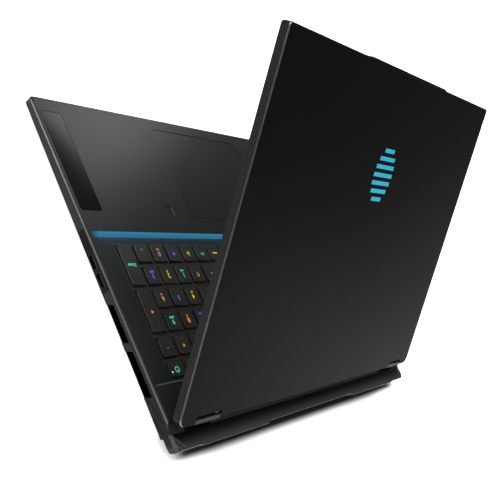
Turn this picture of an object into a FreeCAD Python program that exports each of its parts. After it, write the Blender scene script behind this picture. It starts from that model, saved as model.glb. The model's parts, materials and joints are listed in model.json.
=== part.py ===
import FreeCAD
import Part
import math
import os

# Eighteen-inch notebook computer, standing open on its rubber feet.
# Millimetres, +Z up, +X to the user's right, front edge at -Y.
# The origin is on the surface it stands on, under the middle of the base.

V = FreeCAD.Vector

# Overall driving dimensions
WIDTH = 404.0
DEPTH = 310.0
DECK_Z = 21.5
FOOT_HEIGHT = 2.5
LID_THICKNESS = 7.4
LID_OPEN_ANGLE = 48.8
SCREEN_GAP = 0.6

HALF = WIDTH / 2
FRONT = -DEPTH / 2
REAR = DEPTH / 2
UNDERSIDE_Z = FOOT_HEIGHT

# Fits between pieces, and how far a cutter runs past what it cuts
FIT = 0.1
FLUSH_DROP = 0.05
BED = 0.2
PAST = 1.0

# Base casing
SKIN = 1.5
SIDE_WALL = 1.8
FLOOR_SKIN = 1.2
FLOOR_Z = UNDERSIDE_Z + FLOOR_SKIN
FRONT_CORNER = 5.0
COVER_CORNER = 3.4
COVER_INSET = 0.4
EDGE_CHAMFER = 1.7
FOOT_SPANS = [((80, 170), (119, 130)), ((100, 150), (-116, -107))]
FOOT_CORNER = 3.0
PARTING_FRONT_DROP = 7.3
PARTING_SLOPE = -0.01823
FLANK_SLOPE = 1.85
NOSE_SLOPE = 1.2
FLANK_SKIN = 2.8
SLOPE_START = 130.75
TAIL_START = 140.75
TAIL_DROP = 4.7
TAIL_TOP = DECK_Z - TAIL_DROP

# Sunken keyboard tray and the light bar on the step down to it
TRAY_HALF = 198.0
TRAY_DROP = 2.4
TRAY_Z = DECK_Z - TRAY_DROP
STEP_TOP_Y = -26.0
STEP_FOOT_Y = -22.0
TRAY_REAR_Y = 103.6
TRAY_BEVEL = (1.0, 0.5)
RAMP_OFFSETS = (2.2, 5.0)
PLATE_TOP = DECK_Z - 4.9
PLATE_THICKNESS = 0.8
LIGHT_THICKNESS = 1.2
LIGHT_END_GAP = 0.3

# Keyboard
KEY_PITCH_X = 19.6
KEY_PITCH_Y = 20.6
KEY_GAP = 3.1
KEY_DEPTH = 16.5
KEY_CORNER = 1.4
KEY_TAPER = 0.5
KEY_TOP = DECK_Z - 0.6
KEY_BOTTOM = DECK_Z - 3.0
KEY_CLEARANCE = 0.5
MAIN_UNITS = 14.4
PAD_UNITS = 4.0
FIRST_ROW_Y = -6.05
FUNCTION_ROW_Y = 94.8
FUNCTION_DEPTH = 13.0
KEYBOARD_SHIFT = -3.0
BLOCK_WIDTH = (MAIN_UNITS + PAD_UNITS) * KEY_PITCH_X
BLOCK_LEFT = KEYBOARD_SHIFT - BLOCK_WIDTH / 2
FRAME_MARGIN = 0.7
FRAME_X = (BLOCK_LEFT - FRAME_MARGIN, BLOCK_LEFT + BLOCK_WIDTH + FRAME_MARGIN)
FRAME_Y = (-16.5, 102.9)
FRAME_THICKNESS = 1.2
FRAME_RIM = 1.0
PLATE_OVERLAP = 2.8
SHELF_MARGIN = 4.0
SHELF_RISE = 1.3

# Palm rest
PAD_X = (-77.0, 63.0)
PAD_Y = (-141.4, -42.6)
PAD_CORNER = 10.0
PAD_GAP = 0.4
PAD_TOP = DECK_Z - 0.15
PAD_THICKNESS = 1.2
PAD_BOTTOM = PAD_TOP - PAD_THICKNESS
PAD_PIVOT_RADIUS = 0.6
PAD_PIVOT_GAP = 0.1
PAD_PIVOT_Y = PAD_Y[1] - 2.5
PAD_PIVOT_Z = PAD_BOTTOM - PAD_PIVOT_GAP - PAD_PIVOT_RADIUS
PAD_PIVOT_OFFSET = 40.0
PAD_PIVOT_LENGTH = 24.0
PAD_SWITCH_GAP = 0.42
PAD_SWITCH_SIZE = 5.0
PAD_SWITCH_INSET = 12.0
PAD_TRAY_FLOOR = (1.6, 1.0)
PAD_TRAY_RIM = (4.0, 1.0)
PAD_WINDOW = (46.0, 60.0)
PAD_WINDOW_OFFSET = 36.0
SENSOR_CENTRE = (89.0, -48.9)
SENSOR_SIZE = 11.0
SENSOR_CORNER = 1.2
SENSOR_FLANGE = (2.0, 1.0)
GRILLE_X = (175.0, 199.0)
GRILLE_Y = (-140.2, -45.0)
GRILLE_CORNER = 2.0
GRILLE_LEDGE = 2.0
GRILLE_THICKNESS = 1.0
GRILLE_BEVEL = 0.3

# Lid, described closed and then swung open about the hinge axis
AXIS_Y = 135.75
AXIS_Z = DECK_Z + SCREEN_GAP
LID_EDGE_GAP = 0.6
LID_BOTTOM_Y = AXIS_Y - LID_EDGE_GAP
LID_SETBACK = 1.2
LID_TOP_Y = FRONT + LID_SETBACK
LID_BACK_Z = AXIS_Z + LID_THICKNESS
LID_RIM = 1.6
LID_PANEL = 1.4
LID_BEVEL = 0.9
LID_TOP_CORNER = 3.0
LID_FOOT_CORNER = 8.0
LIP_HALF = 83.0
LIP_TAPER = 5.0
LIP_REACH = 1.1
BEZEL_THICKNESS = 1.2
BEZEL_NOTCH_GAP = 0.6
SCREEN_WIDTH = 387.8
SCREEN_HEIGHT = 242.4
SCREEN_FOOT = 30.0
PANEL_MARGIN = 3.2
PANEL_THICKNESS = 3.0
CAMERA_RADIUS = 2.0
CAMERA_SIDES = 12
CAMERA_BOARD = (44.0, 7.0, 2.4)
CAMERA_DROP = 0.3
CAMERA_HEIGHT = 280.0
EMBLEM_HEIGHT = 201.6
EMBLEM_SIZE = (36.0, 50.0)
EMBLEM_SLATS = 7
EMBLEM_SLAT = 3.6
EMBLEM_MARGIN = 3.0
EMBLEM_BACKING = 0.8

# Friction hinges
HINGE_INNER = 151.8
HINGE_OUTER = 183.0
HINGE_WINDOW_GAP = 0.4
HINGE_WINDOW_Y = SLOPE_START - 1.6
HINGE_WINDOW_DROP = 6.0
NOTCH_HEIGHT = 6.4
HINGE_CAP_HEIGHT = 3.4
HINGE_CAP_GAP = 0.5
HINGE_CAP_DEPTH = (0.2, 1.9)
BARREL_RADIUS = 4.0
BARREL_SIDES = 16
PIN_RADIUS = 2.0
PIN_CLEARANCE = 0.06
PIN_SHORT = 0.5
LUG_RADIUS = 3.4
LUG_SIDES = 12
LUG_X = (152.6, 158.4)
BARREL_X = (159.0, 182.0)
LEAF_THICKNESS = 1.2
LEAF_INNER = 124.0
LEAF_HEIGHTS = (8.0, 24.0)
BRACKET_INNER = 153.0
BRACKET_THICKNESS = 1.6
BRACKET_START = 6.0

# Tail behind the hinges
TAIL_WALL = 1.6
TAIL_LIP = 1.8
TAIL_SIDE_FOOT = 11.0
TAIL_MIDDLE_Y = 152.8
TAIL_TAB_Y = 154.6
TAIL_END_Y = 153.6
TAIL_CORNER = (198.0, 149.6)
TAIL_MIDDLE_HALF = 75.0
TAIL_TAB_OUTER = 171.0
TAIL_RAMP = 3.0
TAIL_RAIL = 4.5
FACET_START = 0.75
FACET_REACH = 13.5
FACET_DROP = 1.7
FACET_RIB = 0.8
FACET_RIB_PLACES = (0.3, 0.6)
PORT_WALL_Y = 150.5
OUTLET_X = (81.0, 165.0)
OUTLET_TOP = (154.5, 14.2)
OUTLET_FOOT = (149.6, 4.8)
OUTLET_GAPS = 8
OUTLET_BAR = 1.2
OUTLET_PROUD = 0.4
OUTLET_RIM = 2.0
OUTLET_TRIM = 1.6
OUTLET_CUT = 4.0

# Cooling
FAN_CENTRE = (122.0, 90.0)
FAN_X = (82.0, 162.0)
FAN_Y = (50.0, 124.0)
FAN_HEIGHT = 10.0
FAN_SKIN = 1.0
FAN_OUTLET_WALL = 2.0
FAN_GAP = 0.6
FAN_CORNER = 8.0
FAN_BORE = 35.0
FAN_INLET = 24.0
INTAKE_SIDE_SLOTS = 3
INTAKE_PITCH = 6.5
INTAKE_SLOT = 3.0
WHEEL_RADIUS = 33.0
HUB_RADIUS = 11.0
FAN_SIDES = 16
HUB_SIDES = 12
BLADES = 11
BLADE_THICKNESS = 0.8
BLADE_LEAN = 28.0
SPINDLE_RADIUS = 1.5
SPINDLE_CLEARANCE = 0.06
FIN_Y = (124.6, 136.6)
FIN_PITCH = 12.5
FIN_THICKNESS = 0.5
FIN_HEIGHT = 9.4
FIN_PLATE = 0.6

# Fasteners: the bosses hang from the deck and the screws come in from below
SCREW_PLACES = [(-140, -130), (140, -130), (-66, 135), (66, 135)]
SCREW_RADIUS = 1.5
HEAD_RADIUS = 2.7
SCREW_LENGTH = 5.0
SCREW_CLEARANCE = 0.05
SCREW_SIDES = 8
BOSS_SIZE = 6.4


# Shape helpers

def block(x, y, z):
    size = [high - low for low, high in (x, y, z)]
    return Part.makeBox(*size, V(x[0], y[0], z[0]))


def around(middle, size):
    return (middle - size / 2, middle + size / 2)


def plan_block(centre, size, z):
    return block(around(centre[0], size[0]), around(centre[1], size[1]), z)


def prism(corners, direction):
    face = Part.Face(Part.makePolygon(corners + corners[:1]))
    return face.extrude(direction)


def prism_x(points, x):
    return prism([V(x[0], y, z) for y, z in points], V(x[1] - x[0], 0, 0))


def prism_y(points, y):
    return prism([V(x, y[0], z) for x, z in points], V(0, y[1] - y[0], 0))


def prism_z(points, z):
    return prism([V(x, y, z[0]) for x, y in points], V(0, 0, z[1] - z[0]))


def rod(radius, start, direction, length):
    return Part.makeCylinder(radius, length, V(*start), V(*direction))


def ring(radius, across, up, sides):
    # Corners of a polygon with enough sides to pass for a circle.
    turns = [2 * math.pi * (index + 0.5) / sides for index in range(sides)]
    return [(across + radius * math.cos(turn), up + radius * math.sin(turn)) for turn in turns]


def drum(radius, x, y, z, sides):
    return prism_z(ring(radius, x, y, sides), z)


def axle(radius, y, z, x, sides):
    return prism_x(ring(radius, y, z, sides), x)


def is_vertical(edge):
    first, last = edge.Vertexes[0].Point, edge.Vertexes[-1].Point
    return abs(first.x - last.x) < 1e-6 and abs(first.y - last.y) < 1e-6


def slab(x, y, z, radius):
    plain = block(x, y, z)
    return plain.makeFillet(radius, [edge for edge in plain.Edges if is_vertical(edge)])


def frustum(lower, upper):
    # Solid between two flat rings of corners that match one to one.
    rings = [lower, upper]
    for index in range(len(lower)):
        after = (index + 1) % len(lower)
        rings.append([lower[index], lower[after], upper[after], upper[index]])
    faces = [Part.Face(Part.makePolygon(ring + ring[:1])) for ring in rings]
    shell = Part.makeShell(faces)
    shell.sewShape()
    return Part.makeSolid(shell)


def octagon(x, y, z, corner):
    points = [(x[0] + corner, y[0]), (x[1] - corner, y[0]), (x[1], y[0] + corner), (x[1], y[1] - corner),
              (x[1] - corner, y[1]), (x[0] + corner, y[1]), (x[0], y[1] - corner), (x[0], y[0] + corner)]
    return [V(px, py, z) for px, py in points]


def bevelled_slab(x, y, z, corner):
    return prism(octagon(x, y, z[0], corner), V(0, 0, z[1] - z[0]))


def mirrored(shape):
    return shape.mirror(V(0, 0, 0), V(1, 0, 0))


def pair(shape):
    return [shape, mirrored(shape)]


def group(shapes):
    return Part.makeCompound(shapes)


def grown(span, amount):
    return (span[0] - amount, span[1] + amount)


def parting_z(y):
    return DECK_Z - PARTING_FRONT_DROP + PARTING_SLOPE * (y - FRONT)


def slope_z(y):
    return DECK_Z - TAIL_DROP * (y - SLOPE_START) / (TAIL_START - SLOPE_START)


# Keyboard layout

def key_cell(start, units, y, depth):
    left = BLOCK_LEFT + start * KEY_PITCH_X + KEY_GAP / 2
    right = BLOCK_LEFT + (start + units) * KEY_PITCH_X - KEY_GAP / 2
    return (left, right), (y - depth / 2, y + depth / 2)


def row_y(row):
    return FIRST_ROW_Y + row * KEY_PITCH_Y


def row_cells(widths, y, depth=KEY_DEPTH, start=0.0):
    cells = []
    for units in widths:
        cells.append(key_cell(start, units, y, depth))
        start += units
    return cells


def pad_cell(column, row, rows=1):
    depth = KEY_DEPTH + (rows - 1) * KEY_PITCH_Y
    y = row_y(row) + (rows - 1) * KEY_PITCH_Y / 2
    return key_cell(MAIN_UNITS + column, 1, y, depth)


def keyboard_layout():
    bottom = row_cells([1.4, 1, 1, 1, 5, 1, 1, 1, 1, 1], row_y(0))
    function = row_cells([1.4] + [1] * 17, FUNCTION_ROW_Y, FUNCTION_DEPTH)
    layout = {
        "space_bar": [bottom.pop(4)],
        "bottom_keys": bottom + [pad_cell(column, 0) for column in range(3)],
        "lower_keys": row_cells([2.2] + [1] * 10 + [1.2, 1], row_y(1)),
        "home_keys": row_cells([1.7] + [1] * 11 + [1.7], row_y(2)),
        "upper_keys": row_cells([1.4] + [1] * 13, row_y(3)),
        "number_keys": row_cells([1] * 13 + [1.4], row_y(4)),
        "power_key": [function.pop()],
        "function_keys": function,
        "pad_enter": [pad_cell(3, 0, 2)],
        "pad_plus": [pad_cell(3, 2, 2)],
    }
    for row, names in enumerate([["1", "2", "3"], ["4", "5", "6"], ["7", "8", "9"]], start=1):
        for column, name in enumerate(names):
            layout["pad_" + name] = [pad_cell(column, row)]
    for column, name in enumerate(["lock", "divide", "multiply", "minus"]):
        layout["pad_" + name] = [pad_cell(column, 4)]
    return layout


def all_cells():
    return [cell for cells in keyboard_layout().values() for cell in cells]


def key_cap(cell):
    x, y = cell
    foot = octagon(x, y, KEY_BOTTOM, KEY_CORNER)
    crown = octagon(grown(x, -KEY_TAPER), grown(y, -KEY_TAPER), KEY_TOP, KEY_CORNER)
    return frustum(foot, crown)


def key_group(name):
    caps = [key_cap(cell) for cell in keyboard_layout()[name]]
    return caps[0] if len(caps) == 1 else group(caps)


def key_frame():
    x = grown(FRAME_X, -FIT)
    y = grown(FRAME_Y, -FIT)
    frame = block(x, y, (PLATE_TOP, TRAY_Z))
    hollow = block(grown(x, -FRAME_RIM), grown(y, -FRAME_RIM), (PLATE_TOP, TRAY_Z - FRAME_THICKNESS))
    windows = [block(grown(cx, KEY_CLEARANCE), grown(cy, KEY_CLEARANCE), (PLATE_TOP, DECK_Z))
               for cx, cy in all_cells()]
    return frame.cut([hollow] + windows)


def key_plate():
    height = (PLATE_TOP - PLATE_THICKNESS, PLATE_TOP)
    return block(grown(FRAME_X, PLATE_OVERLAP), grown(FRAME_Y, PLATE_OVERLAP), height)


# Side sockets and vents

USB_SIZE = (13.2, 5.0)
USB_DEPTH = 14.0
USB_SHELL = 0.5
USB_Z = 14.5
USB_TONGUE = 1.4
SOCKET_BACK = 1.0
TONGUE_MARGIN = 1.5
TONGUE_SETBACK = 1.5
USB_PLACES = [-2.3, 13.5]
SMALL_USB_SIZE = (9.0, 3.4)
SMALL_USB_PLACES = [-12.0, 4.0]
SMALL_USB_Z = 14.8
SMALL_USB_BEVEL = 0.6
SMALL_USB_TONGUE = 0.8
JACK_Y = -28.0
JACK_Z = 15.6
JACK_BODY = 6.0
JACK_BORE = 1.78
JACK_DEPTH = 14.0
JACK_BACK = 2.0
JACK_SIDES = 12
VENT_SPANS = [(33.7, 65.4), (72.4, 109.3)]
VENT_TOP = DECK_Z - 4.6
VENT_FOOT_DROP = 1.0
VENT_SLANT = 2.0


def usb_shape(y, outer):
    return block((HALF - USB_DEPTH, HALF + outer), around(y, USB_SIZE[0]), around(USB_Z, USB_SIZE[1]))


def small_usb_shape(y, outer):
    half, rise = SMALL_USB_SIZE[0] / 2, SMALL_USB_SIZE[1] / 2
    bevel = rise * SMALL_USB_BEVEL
    right = [(half - bevel, -rise), (half, -rise + bevel), (half, rise - bevel), (half - bevel, rise)]
    outline = right + [(-across, up) for across, up in reversed(right)]
    points = [(y + across, SMALL_USB_Z + up) for across, up in outline]
    return prism_x(points, (-HALF - outer, -HALF + USB_DEPTH))


def jack_shape(outer):
    x = (-HALF - outer, -HALF + JACK_DEPTH + JACK_BACK)
    return axle(JACK_BODY / 2, JACK_Y, JACK_Z, x, JACK_SIDES)


def usb_sockets():
    sockets = []
    for y in USB_PLACES:
        width, height = [size - 2 * USB_SHELL for size in USB_SIZE]
        back = HALF - USB_DEPTH + SOCKET_BACK
        mouth = block((back, HALF), around(y, width), around(USB_Z, height))
        tongue = block((back - BED, HALF - TONGUE_SETBACK), around(y, width - TONGUE_MARGIN),
                       (USB_Z, USB_Z + USB_TONGUE))
        sockets.append(usb_shape(y, 0).cut(mouth).fuse(tongue))
    for y in SMALL_USB_PLACES:
        width, height = [size - 2 * USB_SHELL for size in SMALL_USB_SIZE]
        back = -HALF + USB_DEPTH - SOCKET_BACK
        mouth = block((-HALF, back), around(y, width), around(SMALL_USB_Z, height))
        tongue = block((-HALF + TONGUE_SETBACK, back + BED), around(y, width - TONGUE_MARGIN),
                       around(SMALL_USB_Z, SMALL_USB_TONGUE))
        sockets.append(small_usb_shape(y, 0).cut(mouth).fuse(tongue))
    return group(sockets)


def audio_jack():
    bore = rod(JACK_BORE, (-HALF, JACK_Y, JACK_Z), (1, 0, 0), JACK_DEPTH)
    return jack_shape(0).cut(bore)


def side_vents():
    # Slanted openings that run down to the parting line.
    vents = []
    for start, end in VENT_SPANS:
        outline = [(start + VENT_SLANT, VENT_TOP), (end + VENT_SLANT, VENT_TOP),
                   (end - VENT_SLANT, parting_z(end) - VENT_FOOT_DROP),
                   (start - VENT_SLANT, parting_z(start) - VENT_FOOT_DROP)]
        vents += pair(prism_x(outline, (HALF - 2 * SIDE_WALL, HALF + 1)))
    return vents


# Base casing

def deck_block():
    profile = [(FRONT, parting_z(FRONT)), (FRONT, DECK_Z), (SLOPE_START, DECK_Z), (TAIL_START, TAIL_TOP),
               (TAIL_START, parting_z(TAIL_START))]
    body = prism_x(profile, (-HALF, HALF))
    front_posts = [edge for edge in body.Edges if is_vertical(edge) and edge.Vertexes[0].Point.y < FRONT + 1]
    body = body.makeFillet(FRONT_CORNER, front_posts)
    rim = [edge for edge in body.Edges
           if all(abs(vertex.Point.z - DECK_Z) < 1e-6 for vertex in edge.Vertexes)
           and edge.CenterOfMass.y < SLOPE_START - 1]
    return body.makeChamfer(EDGE_CHAMFER, rim)


def deck_cavity():
    low = UNDERSIDE_Z - 5
    palm = DECK_Z - SKIN
    shelf = PLATE_TOP + SHELF_RISE
    end = TAIL_START + 1
    near, far = RAMP_OFFSETS
    profile = [(FRONT + SIDE_WALL, low), (FRONT + SIDE_WALL, palm), (STEP_TOP_Y - far, palm),
               (STEP_TOP_Y - near, PLATE_TOP), (TRAY_REAR_Y + near, PLATE_TOP), (TRAY_REAR_Y + far, palm),
               (SLOPE_START - SKIN / 2, palm), (end, slope_z(end) - SKIN), (end, low)]
    inside = prism_x(profile, (-HALF + SIDE_WALL, HALF - SIDE_WALL))
    beside_keys = (-FRAME_X[0] + SHELF_MARGIN, HALF - SIDE_WALL)
    return [inside] + pair(block(beside_keys, (STEP_TOP_Y, TRAY_REAR_Y), (low, shelf)))


def light_profile():
    run = STEP_FOOT_Y - STEP_TOP_Y
    length = math.hypot(run, TRAY_DROP)
    shift_y = -LIGHT_THICKNESS * TRAY_DROP / length
    shift_z = -LIGHT_THICKNESS * run / length
    top, foot = (STEP_TOP_Y, DECK_Z), (STEP_FOOT_Y, TRAY_Z)
    return [top, foot, (foot[0] + shift_y, foot[1] + shift_z), (top[0] + shift_y, top[1] + shift_z)]


def light_bar():
    return prism_x(light_profile(), (-TRAY_HALF + LIGHT_END_GAP, TRAY_HALF - LIGHT_END_GAP))


def tray_hollow():
    above = DECK_Z + 1
    run, rise = TRAY_BEVEL
    profile = [(STEP_TOP_Y, above), (STEP_TOP_Y, DECK_Z), (STEP_FOOT_Y, TRAY_Z), (TRAY_REAR_Y, TRAY_Z),
               (TRAY_REAR_Y, DECK_Z - rise), (TRAY_REAR_Y + run, DECK_Z), (TRAY_REAR_Y + run, above)]
    return prism_x(profile, (-TRAY_HALF, TRAY_HALF))


def grille_outline(inset, z):
    return bevelled_slab(grown(GRILLE_X, -inset), grown(GRILLE_Y, -inset), z, GRILLE_CORNER)


def sensor_outline(growth, z):
    x, y = [grown(around(middle, SENSOR_SIZE), growth) for middle in SENSOR_CENTRE]
    return bevelled_slab(x, y, z, SENSOR_CORNER)


def palm_rest_openings():
    through = (DECK_Z - 2 * SKIN, DECK_Z + PAST)
    touch = slab(grown(PAD_X, PAD_GAP), grown(PAD_Y, PAD_GAP), through, PAD_CORNER + PAD_GAP)
    sensor = sensor_outline(FIT, through)
    pockets = pair(grille_outline(-FIT, (DECK_Z - GRILLE_THICKNESS, DECK_Z + PAST)))
    sound = pair(grille_outline(GRILLE_LEDGE, through))
    return [touch, sensor] + pockets + sound


def hinge_windows():
    x = (HINGE_INNER - HINGE_WINDOW_GAP, HINGE_OUTER + HINGE_WINDOW_GAP)
    return pair(block(x, (HINGE_WINDOW_Y, TAIL_START), (TAIL_TOP - HINGE_WINDOW_DROP, DECK_Z + PAST)))


def boss_top(y):
    if y > SLOPE_START:
        return slope_z(y) - SKIN / 2
    return DECK_Z - SKIN / 2


def screw_bosses():
    bosses = []
    for x, y in SCREW_PLACES:
        post = block(around(x, BOSS_SIZE), around(y, BOSS_SIZE), (FLOOR_Z, boss_top(y)))
        hole_z = (FLOOR_Z, FLOOR_Z + SCREW_LENGTH + PAST)
        hole = drum(SCREW_RADIUS + SCREW_CLEARANCE, x, y, hole_z, SCREW_SIDES)
        bosses.append(post.cut(hole))
    return bosses


def keyboard_deck():
    key_opening = block(FRAME_X, FRAME_Y, (PLATE_TOP - 1, DECK_Z))
    deck = deck_block().cut(deck_cavity())
    deck = deck.fuse(screw_bosses())
    cutters = [tray_hollow(), prism_x(light_profile(), (-TRAY_HALF, TRAY_HALF)), key_opening, jack_shape(1)]
    cutters += palm_rest_openings() + hinge_windows() + side_vents()
    cutters += [usb_shape(y, 1) for y in USB_PLACES]
    cutters += [small_usb_shape(y, 1) for y in SMALL_USB_PLACES]
    return deck.cut(cutters).removeSplitter()


def tub(flank, floor, end):
    # Closed wedge below the parting line: flanks and nose lean inwards towards the floor.
    def flank_x(y, z):
        return HALF - flank - FLANK_SLOPE * (parting_z(y) - z)

    nose = FRONT + flank * NOSE_SLOPE / FLANK_SLOPE
    nose_foot = nose + NOSE_SLOPE * (parting_z(FRONT) - floor)
    top = [(HALF - flank, nose), (HALF - flank, end)]
    foot = [(flank_x(nose_foot, floor), nose_foot), (flank_x(end, floor), end)]
    upper = [V(x, y, parting_z(y)) for x, y in top] + [V(-x, y, parting_z(y)) for x, y in reversed(top)]
    lower = [V(x, y, floor) for x, y in foot] + [V(-x, y, floor) for x, y in reversed(foot)]
    return frustum(lower, upper)


def intake_slots():
    slots = []
    x0, y0 = FAN_CENTRE
    for index in range(-INTAKE_SIDE_SLOTS, INTAKE_SIDE_SLOTS + 1):
        y = y0 + index * INTAKE_PITCH
        reach = math.sqrt(FAN_INLET ** 2 - (y - y0) ** 2)
        slots += pair(plan_block((x0, y), (2 * reach, INTAKE_SLOT), (UNDERSIDE_Z - PAST, FLOOR_Z + PAST)))
    return slots


def cover_corner():
    # Wedge that takes off the front corner, inside the deck's round one.
    beyond = 2.0
    reach = COVER_CORNER + beyond
    points = [(HALF - reach, FRONT - beyond), (HALF + beyond, FRONT - beyond), (HALF + beyond, FRONT + reach)]
    return prism_z(points, (0, DECK_Z))


def bottom_cover():
    cover = tub(COVER_INSET, UNDERSIDE_Z, TAIL_START)
    hollow = tub(FLANK_SKIN, FLOOR_Z, TAIL_START + 1)
    holes = []
    for x, y in SCREW_PLACES:
        holes.append(drum(HEAD_RADIUS + FIT, x, y, (UNDERSIDE_Z - PAST, FLOOR_Z + PAST), SCREW_SIDES))
    return cover.cut([hollow] + holes + intake_slots() + pair(cover_corner()))


def bottom_screws():
    screws = []
    for x, y in SCREW_PLACES:
        head = drum(HEAD_RADIUS, x, y, (UNDERSIDE_Z, FLOOR_Z), SCREW_SIDES)
        shank = drum(SCREW_RADIUS, x, y, (FLOOR_Z, FLOOR_Z + SCREW_LENGTH), SCREW_SIDES)
        screws.append(head.fuse(shank))
    return group(screws)


def rubber_feet():
    feet = []
    for x, y in FOOT_SPANS:
        feet += pair(bevelled_slab(x, y, (0, FOOT_HEIGHT), FOOT_CORNER))
    return group(feet)


# Palm rest pieces

def touchpad():
    return slab(PAD_X, PAD_Y, (PAD_BOTTOM, PAD_TOP), PAD_CORNER)


def pad_pivot(x, foot):
    # Rounded rib that the plate rocks on.
    rib = block(x, around(PAD_PIVOT_Y, 2 * PAD_PIVOT_RADIUS), (foot, PAD_PIVOT_Z))
    crest = rod(PAD_PIVOT_RADIUS, (x[0], PAD_PIVOT_Y, PAD_PIVOT_Z), (1, 0, 0), x[1] - x[0])
    return rib.fuse(crest)


def touchpad_tray():
    under = DECK_Z - SKIN
    floor = [under - depth for depth in PAD_TRAY_FLOOR]
    wall, gap = PAD_TRAY_RIM
    outer = block(grown(PAD_X, wall), grown(PAD_Y, wall), (floor[0], under))
    hollow = block(grown(PAD_X, gap), grown(PAD_Y, gap), (floor[1], under))
    middle = (PAD_X[0] + PAD_X[1]) / 2
    switch = plan_block((middle, PAD_Y[0] + PAD_SWITCH_INSET), (PAD_SWITCH_SIZE, PAD_SWITCH_SIZE),
                        (floor[0], PAD_BOTTOM - PAD_SWITCH_GAP))
    pivots = []
    windows = []
    for side in (-1, 1):
        pivots.append(pad_pivot(around(middle + side * PAD_PIVOT_OFFSET, PAD_PIVOT_LENGTH), floor[0]))
        centre = (middle + side * PAD_WINDOW_OFFSET, sum(PAD_Y) / 2)
        windows.append(plan_block(centre, PAD_WINDOW, (floor[0] - PAST, floor[1])))
    return outer.cut([hollow] + windows).fuse(pivots + [switch])


def fingerprint_sensor():
    x, y = SENSOR_CENTRE
    under = DECK_Z - SKIN
    key = sensor_outline(0, (under - SENSOR_FLANGE[1] / 2, PAD_TOP))
    width = SENSOR_SIZE + 2 * SENSOR_FLANGE[0]
    flange = block(around(x, width), around(y, width), (under - SENSOR_FLANGE[1], under))
    return key.fuse(flange)


def speaker_grille():
    # Smooth panel with a bevelled rim, set flush into the palm rest.
    plate = grille_outline(0, (DECK_Z - GRILLE_THICKNESS, DECK_Z - FLUSH_DROP))
    top = plate.BoundBox.ZMax
    rim = [edge for edge in plate.Edges if all(abs(vertex.Point.z - top) < 1e-6 for vertex in edge.Vertexes)]
    return plate.makeChamfer(GRILLE_BEVEL, rim)


# Tail

def tail_outline(inset):
    middle, tab, end = [y - inset for y in (TAIL_MIDDLE_Y, TAIL_TAB_Y, TAIL_END_Y)]
    half = HALF - inset
    corner = (TAIL_CORNER[0] - inset, TAIL_CORNER[1] - inset)
    right = [(half, TAIL_START), (half, corner[1]), (corner[0], end),
             (TAIL_TAB_OUTER, end), (TAIL_TAB_OUTER - TAIL_RAMP, tab),
             (TAIL_MIDDLE_HALF + TAIL_RAMP, tab), (TAIL_MIDDLE_HALF, middle)]
    return right + [(-x, y) for x, y in reversed(right)]


def tail_block(inset, start):
    top = TAIL_TOP - inset
    outline = prism_z(tail_outline(inset), (0, top))
    lean = FLANK_SLOPE * (TAIL_SIDE_FOOT - UNDERSIDE_Z)
    flanks = [(HALF - inset, top), (HALF - inset, TAIL_SIDE_FOOT), (HALF - lean - inset, UNDERSIDE_Z + inset)]
    section = prism_y(flanks + [(-x, z) for x, z in reversed(flanks)], (start, REAR + 1))
    lip_foot = TAIL_TOP - TAIL_LIP
    sloped = [(start, top), (REAR + 1, top), (REAR + 1, lip_foot), (OUTLET_TOP[0] - inset, lip_foot),
              (OUTLET_FOOT[0] - inset, OUTLET_FOOT[1] - 1.2), (TAIL_START + 4, UNDERSIDE_Z + inset),
              (start, UNDERSIDE_Z + inset)]
    upright = [(start, top), (REAR + 1, top), (REAR + 1, lip_foot), (PORT_WALL_Y - inset, lip_foot),
               (PORT_WALL_Y - inset, OUTLET_FOOT[1]), (TAIL_START + 4, UNDERSIDE_Z + inset),
               (start, UNDERSIDE_Z + inset)]
    sides = prism_x(sloped, (TAIL_MIDDLE_HALF - inset, HALF))
    middle = prism_x(upright, (-TAIL_MIDDLE_HALF + inset, TAIL_MIDDLE_HALF - inset))
    profile = middle.fuse(pair(sides))
    return outline.common(section).common(profile)


def outlet_plane(offset):
    # Profile points of the exhaust opening, moved along the outward normal of the rear face.
    run, rise = OUTLET_TOP[0] - OUTLET_FOOT[0], OUTLET_TOP[1] - OUTLET_FOOT[1]
    length = math.hypot(run, rise)
    shift = (offset * rise / length, -offset * run / length)
    return [(y + shift[0], z + shift[1]) for y, z in (OUTLET_TOP, OUTLET_FOOT)]


def outlet_slab(inner, outer, x, trim=0.0):
    near, far = outlet_plane(inner), outlet_plane(outer)
    slope = (OUTLET_TOP[0] - OUTLET_FOOT[0]) / (OUTLET_TOP[1] - OUTLET_FOOT[1])
    head, foot = (-trim * slope, -trim), (trim * slope, trim)
    points = [(near[0][0] + head[0], near[0][1] + head[1]), (far[0][0] + head[0], far[0][1] + head[1]),
              (far[1][0] + foot[0], far[1][1] + foot[1]), (near[1][0] + foot[0], near[1][1] + foot[1])]
    return prism_x(points, x)


REAR_PORTS = {"network": (-46.0, 13.0, 9.4), "video": (-16.0, 15.2, 6.0), "power": (30.0, 12.4, 6.4)}
REAR_PORT_FOOT = 5.6
REAR_PORT_DEPTH = 9.0
REAR_PORT_SHELL = 0.6
REAR_PORT_TONGUE = 1.2


def rear_port(name, outer):
    middle, width, height = REAR_PORTS[name]
    y = (PORT_WALL_Y - REAR_PORT_DEPTH, PORT_WALL_Y + outer)
    return block(around(middle, width), y, (REAR_PORT_FOOT, REAR_PORT_FOOT + height))


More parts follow.
